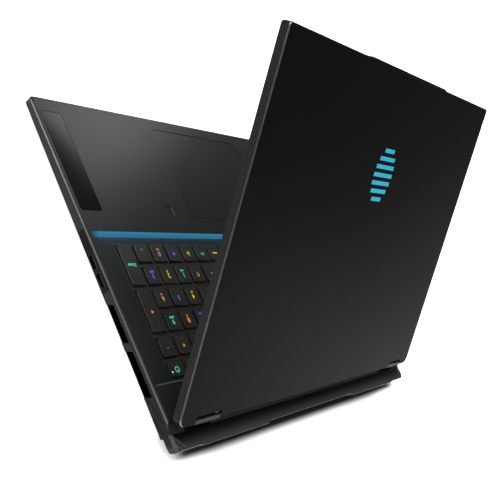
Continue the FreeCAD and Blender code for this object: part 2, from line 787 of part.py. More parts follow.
def corner_facet():
    # The tail's top falls away towards each rear corner, inside the side rail, with ribs along the crease.
    rail_x = HALF - TAIL_RAIL
    end = TAIL_END_Y + 1
    start = V(rail_x, TAIL_START + FACET_START, TAIL_TOP)
    crease_end = V(rail_x - FACET_REACH, end, TAIL_TOP)
    corner = V(rail_x, end, TAIL_TOP - FACET_DROP)
    facet = prism([start, crease_end, corner], V(0, 0, FACET_DROP + 1))
    ribs = []
    along = V(FACET_RIB, 0, 0)
    sunk = V(0, 0, -FACET_RIB)
    for share in FACET_RIB_PLACES:
        head = start + (corner - start) * share + sunk
        foot = crease_end + (corner - crease_end) * share + sunk
        ribs.append(prism([head, head + along, foot + along, foot], sunk * -2))
    return facet.cut(ribs)


def rear_cover():
    shell = tail_block(0, TAIL_START).cut(tail_block(TAIL_WALL, TAIL_START - 1))
    openings = pair(outlet_slab(-OUTLET_CUT, OUTLET_CUT, OUTLET_X))
    ports = [rear_port(name, 1) for name in REAR_PORTS]
    return shell.cut(openings + ports + pair(corner_facet()))


def exhaust_grille():
    frame = outlet_slab(-TAIL_WALL, OUTLET_PROUD, OUTLET_X)
    inner = grown(OUTLET_X, -OUTLET_RIM)
    window = outlet_slab(-OUTLET_CUT, OUTLET_CUT, inner, OUTLET_TRIM)
    grille = frame.cut(window)
    pitch = (inner[1] - inner[0]) / OUTLET_GAPS
    bars = [outlet_slab(-TAIL_WALL, 0, around(inner[0] + index * pitch, OUTLET_BAR), OUTLET_TRIM / 2)
            for index in range(1, OUTLET_GAPS)]
    return grille.fuse(bars)


def exhaust_grilles():
    return group(pair(exhaust_grille()))


def rear_socket(name):
    middle, width, height = REAR_PORTS[name]
    shell = REAR_PORT_SHELL
    back = PORT_WALL_Y - REAR_PORT_DEPTH
    mouth = block(around(middle, width - 2 * shell), (back + SOCKET_BACK, PORT_WALL_Y),
                  (REAR_PORT_FOOT + shell, REAR_PORT_FOOT + height - shell))
    return rear_port(name, 0).cut(mouth)


def port_tongue(name):
    middle, width, height = REAR_PORTS[name]
    back = PORT_WALL_Y - REAR_PORT_DEPTH
    y = (back + SOCKET_BACK / 2, PORT_WALL_Y - TONGUE_SETBACK)
    z = around(REAR_PORT_FOOT + height / 2, REAR_PORT_TONGUE)
    return block(around(middle, width - 2 * TONGUE_MARGIN), y, z)


def rear_sockets():
    return group([rear_socket("network"), rear_socket("video").fuse(port_tongue("video"))])


def power_inlet():
    return rear_socket("power").fuse(port_tongue("power"))


# Lid pieces, made closed

def lid_y(height):
    return LID_BOTTOM_Y - height


def lid_layer(inset, z):
    # Plate of the lid's outline: small round corners at the top, larger ones at the hinge edge.
    plain = block(grown((-HALF, HALF), -inset), grown((LID_TOP_Y, LID_BOTTOM_Y), -inset), z)
    top_posts = [edge for edge in plain.Edges if is_vertical(edge) and edge.CenterOfMass.y < 0]
    rounded = plain.makeFillet(LID_TOP_CORNER - inset, top_posts)
    foot_posts = [edge for edge in rounded.Edges
                  if is_vertical(edge) and abs(edge.CenterOfMass.y - LID_BOTTOM_Y + inset) < 1e-6]
    return rounded.makeFillet(LID_FOOT_CORNER - inset, foot_posts)


def hinge_notches(extra):
    x = grown((HINGE_INNER, HINGE_OUTER), extra)
    notch = block(x, (lid_y(NOTCH_HEIGHT + extra), LID_BOTTOM_Y + 1), (AXIS_Z - 1, LID_BACK_Z + 1))
    return pair(notch)


def emblem_slats(z):
    # Level bars of different lengths that fill an oval.
    width, height = EMBLEM_SIZE
    pitch = height / EMBLEM_SLATS
    slats = []
    for index in range(EMBLEM_SLATS):
        rise = (index + 0.5) * pitch - height / 2
        length = width * math.sqrt(1 - (2 * rise / height) ** 2)
        slats.append(block(around(0, length), around(lid_y(EMBLEM_HEIGHT + rise), EMBLEM_SLAT), z))
    return slats


def lid_cover():
    cover = lid_layer(0, (AXIS_Z, LID_BACK_Z))
    rim = [edge for edge in cover.Edges if all(abs(v.Point.z - LID_BACK_Z) < 1e-6 for v in edge.Vertexes)]
    cover = cover.makeChamfer(LID_BEVEL, rim)
    lip = [(-LIP_HALF, LID_TOP_Y + 1), (-LIP_HALF, LID_TOP_Y), (-LIP_HALF + LIP_TAPER, LID_TOP_Y - LIP_REACH),
           (LIP_HALF - LIP_TAPER, LID_TOP_Y - LIP_REACH), (LIP_HALF, LID_TOP_Y), (LIP_HALF, LID_TOP_Y + 1)]
    cover = cover.fuse(prism_z(lip, (AXIS_Z, LID_BACK_Z - LID_BEVEL)))
    hollow = lid_layer(LID_RIM, (AXIS_Z - 1, LID_BACK_Z - LID_PANEL))
    slats = emblem_slats((LID_BACK_Z - 2 * LID_PANEL, LID_BACK_Z + PAST))
    return cover.cut([hollow] + hinge_notches(0) + slats)


def lid_emblem():
    backing_z = (LID_BACK_Z - LID_PANEL - EMBLEM_BACKING, LID_BACK_Z - LID_PANEL)
    x, y = [grown(around(middle, size), EMBLEM_MARGIN)
            for middle, size in zip((0, lid_y(EMBLEM_HEIGHT)), EMBLEM_SIZE)]
    return block(x, y, backing_z).fuse(emblem_slats((backing_z[0], LID_BACK_Z - FLUSH_DROP)))


def screen_bezel():
    bezel = lid_layer(LID_RIM + FIT, (AXIS_Z, AXIS_Z + BEZEL_THICKNESS))
    through = (AXIS_Z - PAST, AXIS_Z + BEZEL_THICKNESS + PAST)
    window = block(around(0, SCREEN_WIDTH), (lid_y(SCREEN_FOOT + SCREEN_HEIGHT), lid_y(SCREEN_FOOT)),
                   through)
    eye = drum(CAMERA_RADIUS + FIT, 0, lid_y(CAMERA_HEIGHT), through, CAMERA_SIDES)
    return bezel.cut([window, eye] + hinge_notches(BEZEL_NOTCH_GAP))


def display_panel():
    x = around(0, SCREEN_WIDTH + 2 * PANEL_MARGIN)
    y = (lid_y(SCREEN_FOOT + SCREEN_HEIGHT + PANEL_MARGIN), lid_y(SCREEN_FOOT - PANEL_MARGIN))
    front = AXIS_Z + BEZEL_THICKNESS
    return block(x, y, (front, front + PANEL_THICKNESS))


def webcam():
    back = AXIS_Z + BEZEL_THICKNESS
    width, height, thickness = CAMERA_BOARD
    middle = lid_y(CAMERA_HEIGHT)
    board = block(around(0, width), around(middle, height), (back, back + thickness))
    barrel = drum(CAMERA_RADIUS, 0, middle, (AXIS_Z + CAMERA_DROP, back + BED), CAMERA_SIDES)
    return board.fuse(barrel)


def hinge_leaf():
    # Lies flat inside the cover, with an arm, a lug, the hinge pin and a cap behind the barrel.
    back = LID_BACK_Z - LID_PANEL
    plate_z = (back - LEAF_THICKNESS, back)
    plate = block((LEAF_INNER, LUG_X[1]), (lid_y(LEAF_HEIGHTS[1]), lid_y(LEAF_HEIGHTS[0])), plate_z)
    overlap = LEAF_HEIGHTS[0] + 1.0
    arm_profile = [(lid_y(overlap), plate_z[0]), (lid_y(overlap), plate_z[1]), (lid_y(2.2), plate_z[1]),
                   (AXIS_Y + 3.0, AXIS_Z + 1.5), (AXIS_Y, AXIS_Z), (AXIS_Y - 3.0, AXIS_Z + 1.2)]
    arm = prism_x(arm_profile, LUG_X)
    lug = axle(LUG_RADIUS, AXIS_Y, AXIS_Z, LUG_X, LUG_SIDES)
    pin = rod(PIN_RADIUS, (LUG_X[0], AXIS_Y, AXIS_Z), (1, 0, 0), BARREL_X[1] - PIN_SHORT - LUG_X[0])
    cap_z = [LID_BACK_Z - depth for depth in reversed(HINGE_CAP_DEPTH)]
    cap = block(grown((HINGE_INNER, HINGE_OUTER), -HINGE_CAP_GAP), (lid_y(HINGE_CAP_HEIGHT), lid_y(0)), cap_z)
    return plate.fuse([arm, lug, pin, cap])


def hinge_bracket():
    # Bolted under the deck, with the split barrel that grips the pin.
    under = DECK_Z - SKIN
    plate_z = (under - BRACKET_THICKNESS, under)
    end = HINGE_WINDOW_Y
    plate = block((BRACKET_INNER, BARREL_X[1]), (TRAY_REAR_Y + BRACKET_START, end), plate_z)
    neck = [(end - 1.4, plate_z[0]), (end - 1.4, plate_z[1]), (end, plate_z[1]), (AXIS_Y - 3.4, AXIS_Z - 0.8),
            (AXIS_Y, AXIS_Z), (AXIS_Y, AXIS_Z - BARREL_RADIUS), (AXIS_Y - 3.5, AXIS_Z - BARREL_RADIUS)]
    arm = prism_x(neck, BARREL_X)
    barrel = axle(BARREL_RADIUS, AXIS_Y, AXIS_Z, BARREL_X, BARREL_SIDES)
    length = BARREL_X[1] - BARREL_X[0] + 2 * PAST
    bore = rod(PIN_RADIUS + PIN_CLEARANCE, (BARREL_X[0] - PAST, AXIS_Y, AXIS_Z), (1, 0, 0), length)
    return plate.fuse([arm, barrel]).cut(bore)


# Inner pieces

BOARD_Z = (5.0, 6.2)
BOARD_X = (-78.0, 78.0)
BOARD_Y = (-46.0, 114.0)
BOARD_POST = 5.0
CHIPS = [(-30.0, 40.0, 34.0), (32.0, 40.0, 40.0)]
CHIP_TOP = 7.6
COIL_SIZE = 6.0
COIL_Y = 68.0
COIL_XS = range(-54, 60, 18)
COIL_HEIGHT = 2.4
SLOT_SIZE = (72.0, 5.0)
SLOT_HEIGHT = 2.0
SLOT_YS = (-43.0, 14.0)
MEMORY_X = -30.0
MEMORY_YS = (-25.0, -4.0)
MEMORY_SIZE = (69.6, 18.0)
MEMORY_CHIP = (9.0, 11.0)
MEMORY_CHIP_XS = range(-54, 0, 12)
CARD_BOARD = 1.0
CARD_CHIP = 1.0
CARD_Z = (BOARD_Z[1], BOARD_Z[1] + CARD_BOARD)
CARD_CHIP_Z = (CARD_Z[1] - BED, CARD_Z[1] + CARD_CHIP)
DRIVE_CENTRE = (48.0, -20.0)
DRIVE_SIZE = (22.0, 48.0)
DRIVE_CHIP = (16.0, 13.0)
DRIVE_CHIP_PITCH = 16.0
BATTERY_TRAY = ((-130.0, 130.0), (-132.0, -62.0))
BATTERY_CELL = 60.0
BATTERY_CELL_XS = (-96.0, -32.0, 32.0, 96.0)
BATTERY_HEIGHT = 8.0
BATTERY_SKIN = 1.2
BATTERY_MARGIN = 2.0
SPEAKER_BOX = ((146.0, 197.0), (-136.0, -50.0))
SPEAKER_DEPTH = 5.4
SPEAKER_CORNER = 4.0
COLD_PLATE_TOP = 9.0
PIPE_TOP = 11.4
PIPE_WIDTH = 6.0
PIPE_TAIL = 15.0
PIPE_BEND = 9.0
PIPE_ENTRY = 4.0
COLD_PLATE_INSET = 2.0


def mainboard():
    # Parts on the board are let into it by a little, so that they are one solid.
    top = BOARD_Z[1]
    board = block(BOARD_X, BOARD_Y, BOARD_Z)
    posts = [plan_block((x, y), (BOARD_POST, BOARD_POST), (FLOOR_Z, BOARD_Z[0] + BED))
             for x in grown(BOARD_X, -BOARD_POST) for y in grown(BOARD_Y, -BOARD_POST)]
    chips = [plan_block((x, y), (size, size), (top - BED, CHIP_TOP)) for x, y, size in CHIPS]
    coils = [plan_block((x, COIL_Y), (COIL_SIZE, COIL_SIZE), (top - BED, top + COIL_HEIGHT)) for x in COIL_XS]
    slots = [plan_block((MEMORY_X, y), SLOT_SIZE, (top - BED, top + SLOT_HEIGHT)) for y in SLOT_YS]
    return board.fuse(posts + chips + coils + slots)


def memory_modules():
    sticks = []
    for y in MEMORY_YS:
        board = plan_block((MEMORY_X, y), MEMORY_SIZE, CARD_Z)
        chips = [plan_block((x, y), MEMORY_CHIP, CARD_CHIP_Z) for x in MEMORY_CHIP_XS]
        sticks.append(board.fuse(chips))
    return group(sticks)


def storage_drive():
    x, y = DRIVE_CENTRE
    board = plan_block(DRIVE_CENTRE, DRIVE_SIZE, CARD_Z)
    chips = [plan_block((x, y + step * DRIVE_CHIP_PITCH), DRIVE_CHIP, CARD_CHIP_Z) for step in (-1, 0, 1)]
    return board.fuse(chips)


def battery_pack():
    x, y = BATTERY_TRAY
    floor = FLOOR_Z + BATTERY_SKIN
    tray = block(x, y, (FLOOR_Z, floor))
    cell_y = grown(y, -BATTERY_MARGIN)
    cell_z = (floor - BED, FLOOR_Z + BATTERY_HEIGHT)
    cells = [block(around(middle, BATTERY_CELL), cell_y, cell_z) for middle in BATTERY_CELL_XS]
    return tray.fuse(cells)


def speaker_driver():
    under = DECK_Z - SKIN
    return bevelled_slab(*SPEAKER_BOX, (under - SPEAKER_DEPTH, under), SPEAKER_CORNER)


def speaker_drivers():
    return group(pair(speaker_driver()))


def fan_housing():
    # Air comes in from below, round the wheel, and leaves at the rear. The spindle hangs from the roof.
    x0, y0 = FAN_CENTRE
    low, high = FLOOR_Z, FLOOR_Z + FAN_HEIGHT
    inner = (low + FAN_SKIN, high - FAN_SKIN)
    shell = bevelled_slab(FAN_X, FAN_Y, (low, high), FAN_CORNER)
    scroll = drum(FAN_BORE, x0, y0, inner, FAN_SIDES)
    outlet = block(grown(FAN_X, -FAN_OUTLET_WALL), (y0, FAN_Y[1] + PAST), inner)
    inlet = drum(FAN_INLET, x0, y0, (low - PAST, inner[0] + PAST), FAN_SIDES)
    foot = low + 2 * FAN_SKIN
    spindle = rod(SPINDLE_RADIUS, (x0, y0, foot), (0, 0, 1), high - foot)
    return shell.cut([scroll, outlet, inlet]).fuse(spindle)


def fan_blade(z):
    # A vane that leans back, folded once along its length.
    lean = math.radians(BLADE_LEAN)
    stations = [(HUB_RADIUS - 1.0, 0.0), ((HUB_RADIUS + WHEEL_RADIUS) / 2, lean * 0.3), (WHEEL_RADIUS, lean)]

    def side(sign):
        turned = [(radius, turn + sign * BLADE_THICKNESS / (2 * radius)) for radius, turn in stations]
        return [(radius * math.cos(angle), radius * math.sin(angle)) for radius, angle in turned]

    return prism_z(side(-1) + side(1)[::-1], z)


def fan_wheel():
    x0, y0 = FAN_CENTRE
    low = FLOOR_Z + FAN_SKIN + FAN_GAP
    high = FLOOR_Z + FAN_HEIGHT - FAN_SKIN - FAN_GAP
    hub = drum(HUB_RADIUS, 0, 0, (low, high), HUB_SIDES)
    blades = []
    for index in range(BLADES):
        blade = fan_blade((low + BED, high - BED))
        blade.rotate(V(0, 0, 0), V(0, 0, 1), 360.0 * index / BLADES)
        blades.append(blade)
    bore = rod(SPINDLE_RADIUS + SPINDLE_CLEARANCE, (0, 0, low - PAST), (0, 0, 1), FAN_HEIGHT)
    wheel = hub.fuse(blades).cut(bore)
    wheel.translate(V(x0, y0, 0))
    return wheel


def fin_stack():
    z = (FLOOR_Z, FLOOR_Z + FIN_HEIGHT)
    x = grown(FAN_X, -FAN_OUTLET_WALL)
    plates = [block(x, FIN_Y, (z[0], z[0] + FIN_PLATE)), block(x, FIN_Y, (z[1] - FIN_PLATE, z[1]))]
    count = int((x[1] - x[0]) / FIN_PITCH)
    fins = [block((x[0] + index * FIN_PITCH, x[0] + index * FIN_PITCH + FIN_THICKNESS), FIN_Y, z)
            for index in range(count + 1)]
    return plates[0].fuse(plates[1:] + fins)


def heat_pipe(chip_x, chip_y):
    # Flattened pipe from a chip to the end of the fin stack on the same side.
    side = math.copysign(1, chip_x)
    half = PIPE_WIDTH / 2
    turn = FIN_Y[0] + PIPE_ENTRY
    end = FAN_X[0] + FAN_OUTLET_WALL + BED
    inner = abs(chip_x) - half
    outer = abs(chip_x) + half
    start = chip_y - PIPE_TAIL
    points = [(inner, start), (inner, turn - 2 * half), (inner + PIPE_BEND, turn + half), (end, turn + half),
              (end, turn - half), (outer + 2 * half, turn - half), (outer, turn - PIPE_BEND), (outer, start)]
    return prism_z([(side * x, y) for x, y in points], (COLD_PLATE_TOP - BED, PIPE_TOP))


def heat_sink():
    pieces = pair(fin_stack())
    for x, y, size in CHIPS:
        width = size - 2 * COLD_PLATE_INSET
        pieces.append(plan_block((x, y), (width, width), (CHIP_TOP, COLD_PLATE_TOP)))
        pieces.append(heat_pipe(x, y))
    bridge_z = (COLD_PLATE_TOP - BED, PIPE_TOP)
    pieces.append(block((CHIPS[0][0], CHIPS[1][0]), around(CHIPS[0][1], PIPE_WIDTH), bridge_z))
    return pieces[0].fuse(pieces[1:])


# Assembly

def opened(shape):
    swung = shape.copy()
    swung.rotate(V(0, AXIS_Y, AXIS_Z), V(-1, 0, 0), LID_OPEN_ANGLE)
    return swung


BASE_PIECES = [keyboard_deck, light_bar, key_frame, key_plate, touchpad_tray, touchpad, fingerprint_sensor,
               bottom_cover, bottom_screws, rubber_feet, rear_cover, exhaust_grilles, rear_sockets,
               power_inlet, usb_sockets, audio_jack, mainboard, memory_modules, storage_drive,
               battery_pack, speaker_drivers, heat_sink]
SIDED_PIECES = [speaker_grille, hinge_bracket, fan_housing, fan_wheel]
LID_PIECES = [lid_cover, lid_emblem, screen_bezel, display_panel, webcam]


def assembly():
    nodes = {make.__name__: make() for make in BASE_PIECES}
    nodes.update({make.__name__: opened(make()) for make in LID_PIECES})
    for make in SIDED_PIECES:
        right = make()
        nodes[make.__name__ + "_right"] = right
        nodes[make.__name__ + "_left"] = mirrored(right)
    leaf = opened(hinge_leaf())
    nodes["hinge_leaf_right"] = leaf
    nodes["hinge_leaf_left"] = mirrored(leaf)
    for name in keyboard_layout():
        nodes[name] = key_group(name)
    return nodes


os.makedirs("parts", exist_ok=True)
for node, shape in assembly().items():
    shape.exportStep("parts/" + node + ".step")
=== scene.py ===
import json
import math

import bmesh
import bpy
from mathutils import Matrix, Vector


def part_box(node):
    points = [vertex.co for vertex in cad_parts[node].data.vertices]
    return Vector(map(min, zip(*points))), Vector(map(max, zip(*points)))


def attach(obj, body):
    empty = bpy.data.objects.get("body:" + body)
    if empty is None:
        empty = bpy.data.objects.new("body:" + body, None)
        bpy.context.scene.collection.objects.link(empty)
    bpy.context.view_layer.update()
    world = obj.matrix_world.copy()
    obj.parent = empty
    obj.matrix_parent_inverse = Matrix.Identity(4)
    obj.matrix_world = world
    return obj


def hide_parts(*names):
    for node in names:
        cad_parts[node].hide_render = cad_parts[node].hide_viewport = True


# Looks of an eighteen-inch notebook computer: finishes, softened edges, key legends, light and camera.
# Metres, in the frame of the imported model: +Z up, +X to the user's right, front edge at -Y.

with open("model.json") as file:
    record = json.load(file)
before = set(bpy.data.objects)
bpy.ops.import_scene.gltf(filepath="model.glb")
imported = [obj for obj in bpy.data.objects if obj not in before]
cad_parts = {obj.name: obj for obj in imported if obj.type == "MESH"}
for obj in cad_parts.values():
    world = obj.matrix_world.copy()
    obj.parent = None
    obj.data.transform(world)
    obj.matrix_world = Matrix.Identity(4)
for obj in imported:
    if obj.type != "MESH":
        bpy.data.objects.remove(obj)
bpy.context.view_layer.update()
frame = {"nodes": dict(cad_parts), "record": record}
NODES = frame["nodes"]
BODY_OF = {node: body for body, nodes in frame["record"]["behaviour"]["bodies"].items() for node in nodes}
SLOT_OF = {part["node"]: part["material_slot"] for part in frame["record"]["subparts"]}
SCENE = bpy.context.scene
MM = 0.001
X, Y, Z = range(3)

# Camera, as solved from the photograph's edges and key grid
CAMERA_PLACE = Vector((0.64743, 0.20983, 0.40116))
CAMERA_RIGHT = Vector((-0.55492, 0.41832, 0.71908))
CAMERA_UP = Vector((-0.00223, -0.86512, 0.50156))
CAMERA_LENS = 58.29
CAMERA_SENSOR = 36.0

# Studio: a white horizon under a dark ceiling, and a floor that is white far from the object.
# A rectangle under the object shows its shadow, and a painted shadow lies as a dark strip under the tail;
# each fades over its reach.
HORIZON_TOP = math.radians(4.5)
CEILING_START = math.radians(10)
CEILING_LIGHT = 0.04
FLOOR_SIZE = 40.0
FLOOR_COLOUR = 0.92
FLOOR_ROUGHNESS = 0.9
FLOOR_SPECULAR = 0.1
SHADOW_MIDDLE = Vector((0, 0))
SHADOW_HALF = Vector((0.135, 0.150))
SHADOW_REACH = 0.05
PAINTED_SHADOW_MIDDLE = Vector((-0.0075, 0.146))
PAINTED_SHADOW_HALF = Vector((0.1775, 0.008))
PAINTED_SHADOW_STRETCH = Vector((0.22, 1))
PAINTED_SHADOW_REACH = 0.008
PAINTED_SHADOW_LIGHT = 0.015

# Soft lamps: where each stands, what it faces, its width and height, and its power in watts
LAMPS = {
    "overhead": dict(stand=(0.35, -0.1, 1.7), aim=(0.1, 0, 0), size=(2.2, 2.2), power=50),
    "front_left": dict(stand=(-1.0, -0.93, 0.85), aim=(0.12, -0.12, 0.02), size=(0.34, 0.22), power=1.15,
                       tint=(0.95, 0.975, 1)),
    "rear_left": dict(stand=(-1.3, 1.25, 0.42), aim=(0.03, 0.06, 0.12), size=(0.8, 0.55), power=1.75),
    "left": dict(stand=(-1.55, -0.25, 0.53), aim=(-0.15, 0.15, 0.02), size=(0.3, 0.25), power=0.5),
    "edge": dict(stand=(1.6, -1.35, 1.6), aim=(0.2, -0.1, 0.02), size=(0.5, 0.5), power=7),
    "rear_right": dict(stand=(0.95, 1.06, 0.46), aim=(0.2, 0, 0.15), size=(0.4, 0.3), power=0.3),
}

# Blue light that the light bar throws on the keyboard tray
SPILL_INSET = 0.5 * MM
SPILL_THROW = 15 * MM
SPILL_SIZE = (0.38, 0.003)
SPILL_POWER = 0.026
SPILL_TINT = (0.1, 0.55, 1)

# Textures of the finishes: scale in repeats per metre, detail in octaves, and the range that a noise fills
NOISE_LOW, NOISE_HIGH = 0.2, 0.8
FINE_DETAIL = 2
CLOUD_SCALE, CLOUD_DETAIL = 14, 4
PATCH_SCALE, PATCH_DETAIL = 45, 3
METAL_GRAIN = 2500
MOULDED_GRAIN = 1800
KEY_GRAIN = 3500
GRAIN_DEPTH = 0.01 * MM
GLASS_GRAIN_DEPTH = 0.002 * MM
EVEN = (1, 1, 1)
BRUSHED_ALONG = (1, 0.05, 0.05)
COLOUR_VARIATION = 0.02
GLOSS_VARIATION = 0.004

# Plain finishes: those of the record's slots first, then the paints of single faces and small pieces
SURFACES = {
    "deck_metal": dict(colour=(0.017, 0.0176, 0.0183), roughness=0.29, specular=0.32),
    "lid_metal": dict(colour=(0.0048, 0.0050, 0.0051), roughness=0.32, specular=0.02),
    "case_plastic": dict(colour=(0.0028, 0.0029, 0.0029), roughness=0.32, specular=0.6, grain=MOULDED_GRAIN),
    "key_plastic": dict(colour=(0.014, 0.0135, 0.013), roughness=0.37, specular=0.65, grain=KEY_GRAIN),
    "steel": dict(colour=(0.012, 0.0122, 0.0124), roughness=0.4, metallic=0.3, specular=0.2),
    "plate": dict(colour=(0.05, 0.05, 0.05), roughness=0.5, metallic=0.8),
    "pad_glass": dict(colour=(0.015, 0.0155, 0.016), roughness=0.28, specular=0.32),
    "screen": dict(colour=(0.004, 0.0045, 0.005), roughness=0.12, grain_depth=GLASS_GRAIN_DEPTH),
    "foot_rubber": dict(colour=(0.012, 0.012, 0.012), roughness=0.8, specular=0.25),
    "socket_plastic": dict(colour=(0.012, 0.012, 0.012), roughness=0.5),
    "board": dict(colour=(0.012, 0.05, 0.03), roughness=0.45),
    "battery": dict(colour=(0.02, 0.02, 0.022), roughness=0.45),
    "copper": dict(colour=(0.60, 0.26, 0.13), roughness=0.35, metallic=1.0),
    "fan_plastic": dict(colour=(0.02, 0.02, 0.02), roughness=0.5),
    "deck_edge": dict(colour=(0.085, 0.087, 0.088), roughness=0.3, metallic=0.8),
    "deck_side": dict(colour=(0.016, 0.0163, 0.0166), roughness=0.4, specular=0.12),
    "side_inlay": dict(colour=(0.004, 0.0041, 0.0042), roughness=0.5, specular=0.06),
    # Lid chamfer: metal painted light as a highlight line
    "lid_edge": dict(colour=(0.15, 0.153, 0.155), roughness=0.3, metallic=0.8),
    "lid_side": dict(colour=(0.012, 0.0123, 0.0125), roughness=0.36, specular=0.08, stretch=BRUSHED_ALONG),
    # Painted highlight: a light line on the tray's rear bevel and on the tail's rounded edges
    "tail_edge": dict(colour=(0.055, 0.056, 0.057), roughness=0.4),
    "tail_rail": dict(colour=(0.070, 0.071, 0.072), roughness=0.36, specular=0.4),
    "tail_facet": dict(colour=(0.026, 0.0265, 0.027), roughness=0.36, specular=0.3),
    "sensor": dict(colour=(0.008, 0.008, 0.0085), roughness=0.35, specular=0.3),
    "black": dict(colour=(0.001, 0.001, 0.001), roughness=0.6, specular=0.1),
}

# Tail: painted shade, black beside the hinges under the lid and fading to the tail's grey towards the lip
TAIL_PAINTED_SHADE = (0.0006, 0.0006, 0.0006)
TAIL_GREY = (0.032, 0.0325, 0.033)
TAIL_SHADE_START = 13.5 * MM
TAIL_SHADE_END = 2 * MM
TAIL_SHADE_CURVE = 2.0
TAIL_GLOSS = (0.33, 0.35)
TAIL_SPECULAR = 0.12

# Speaker panels: pitch and width of the holes, with the rim as a share of that width
SPEAKER_COLOUR = (0.005, 0.005, 0.0052)
SPEAKER_ROUGHNESS = 0.1
SPEAKER_SPECULAR = 0.13
HOLE_PITCH = 1.2 * MM
HOLE_WIDTH = 0.4 * MM
HOLE_RIM_START, HOLE_RIM_END = 0.4, 0.5
# Painted shade inside each hole, as a share of the panel's colour
HOLE_PAINTED_SHADE = 0.1
HOLE_ROUGHNESS = 0.7
HOLE_DEPTH = 0.05 * MM

# Light bar: colours at its lower and upper edge, and its fade towards both ends
BAR_BODY = (0.01, 0.05, 0.08)
BAR_DIM = (0.012, 0.045, 0.075)
BAR_BRIGHT = (0.022, 0.18, 0.30)
BAR_ROUGHNESS = 0.35
BAR_FOOT = 0.2 * MM
BAR_CREST = 0.5 * MM
BAR_FADE = 9 * MM
BAR_END_LIGHT = 0.1
BAR_MOTTLE_SCALE = 300
BAR_MOTTLE = 0.06

# Lit diffusers: mottling and the share of the light's colour that the unlit body has
LIT_ROUGHNESS = 0.4
LIT_STRENGTH = 1.0
LIT_MOTTLE_SCALE = 900
LIT_BODY_SHARE = 0.2
LIT_BODY_VARIATION = 0.1
LIT_DIP = 0.92

# Lit colours, as linear light
TEAL = (0.05, 0.52, 0.30)
VIOLET = (0.12, 0.09, 0.52)
YELLOW = (0.66, 0.47, 0.03)
ORANGE = (0.62, 0.25, 0.05)
LILAC = (0.075, 0.070, 0.13)
BEIGE = (0.36, 0.22, 0.12)
WHITE = (0.75, 0.8, 0.82)
EMBLEM_BLUE = (0.012, 0.34, 0.50)
LEGEND_COLOURS = {
    "teal": TEAL,
    "violet": VIOLET,
    "yellow": YELLOW,
    "orange": ORANGE,
    "lilac": LILAC,
    "beige": BEIGE,
}
GLOW_SHARE = 0.05

# Key legends and the glow round each key's foot
LEGEND_LIFT = 0.02 * MM
LEGEND_DEPTH = 0.02 * MM
LEGEND_WEIGHT = 0.12 * MM
LEGEND_STEPS = 3
LETTER_SIZE = 6.2 * MM
LETTER_RISE = 0.6 * MM
WORD_SIZE = 2.9 * MM
WORD_DROP = 3.6 * MM
TALL_WORD_SIZE = 4.4 * MM
KEY_CORNER = 1.4 * MM
TALL_KEY = 2 * KEY_CORNER + 3 * LETTER_SIZE
GLOW_GAP = 0.03 * MM
GLOW_THICKNESS = 0.06 * MM
GLOW_HEIGHT = 0.75 * MM

# Small light on the power key, and its dark surround
POWER_LIGHT_SHIFT = Vector((6.4, 1.8, 0)) * MM
POWER_LIGHT_RADIUS = 0.75 * MM
POWER_LIGHT_HEIGHT = 0.06 * MM
POWER_SURROUND_RADIUS = 1.5 * MM
POWER_SURROUND_HEIGHT = 0.03 * MM
POWER_LIGHT_SIDES = 24

# Finger sensor: sloping rim and depth of its dish
SENSOR_RIM = 1.4 * MM
SENSOR_SINK = 0.45 * MM

# Rounded edges: width on each piece, the angle from which an edge counts as sharp, and the weight that keeps
# flat faces flat
KEY_ROUNDING = 0.35 * MM
DECK_ROUNDING = 0.12 * MM
LID_ROUNDING = 0.2 * MM
TOUCHPAD_ROUNDING = 0.25 * MM
FOOT_ROUNDING = 0.6 * MM
TAIL_ROUNDING = 0.6 * MM
COVER_ROUNDING = 0.3 * MM
SPEAKER_ROUNDING = 0.15 * MM
SHARP_ANGLE = math.radians(25)
FLAT_FACE_WEIGHT = 100

# Meshes made whole: points nearer than this are one, and faces that turn less than this are one
SAME_POINT = 0.001 * MM
FLAT_ANGLE = math.radians(0.5)

# Painted faces of the deck: shine on the chamfer's outer part, and a dark inlay round the side sockets
DECK_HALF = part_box("keyboard_deck")[1].x
DECK_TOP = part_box("keyboard_deck")[1].z
SHINE_INNER = DECK_HALF - 0.9 * MM
CHAMFER_INNER = DECK_HALF - 2 * MM
WALL_INNER = DECK_HALF - 0.1 * MM
TRAY_BEVEL_FOOT = DECK_TOP - 1.0 * MM
INLAY_START, INLAY_END = -30 * MM, 24 * MM
INLAY_TOP = DECK_TOP - 2.4 * MM

# Painted faces of the tail: a strip along each side, and the ribs of the corner beside it
RAIL_INNER = DECK_HALF - 4.5 * MM
RIBS_INNER = RAIL_INNER - 12 * MM

# How much of a face's normal points along an axis: less than the first value in a wall, more than the second
# in a flat face
DECK_WALL_LEAN, DECK_FLAT_LEAN = 0.3, 0.98
LID_WALL_LEAN, LID_FLAT_LEAN = 0.4, 0.95
FACET_LEAN, TAIL_FLAT_LEAN = 0.95, 0.99
SIDEWAYS_LEAN = 0.3
UPWARD_LEAN = 0.9


# Node helpers

def new_material(name):
    material = bpy.data.materials.new(name)
    material.use_nodes = True
    return material, material.node_tree, material.node_tree.nodes["Principled BSDF"]


def add(tree, kind, **settings):
    node = tree.nodes.new("ShaderNode" + kind)
    for key, value in settings.items():
        setattr(node, key, value)
    return node


def place(tree, output="Object"):
    return add(tree, "TexCoord").outputs[output]


def noise(tree, scale, detail=FINE_DETAIL, stretch=EVEN):
    mapping = add(tree, "Mapping")
    mapping.inputs["Scale"].default_value = stretch
    tree.links.new(place(tree), mapping.inputs["Vector"])
    texture = add(tree, "TexNoise")
    texture.inputs["Scale"].default_value = scale
    texture.inputs["Detail"].default_value = detail
    tree.links.new(mapping.outputs["Vector"], texture.inputs["Vector"])
    return texture.outputs["Fac"]


def axis_value(tree, axis, output="Object"):
    split = add(tree, "SeparateXYZ")
    tree.links.new(place(tree, output), split.inputs[0])
    return split.outputs[axis]


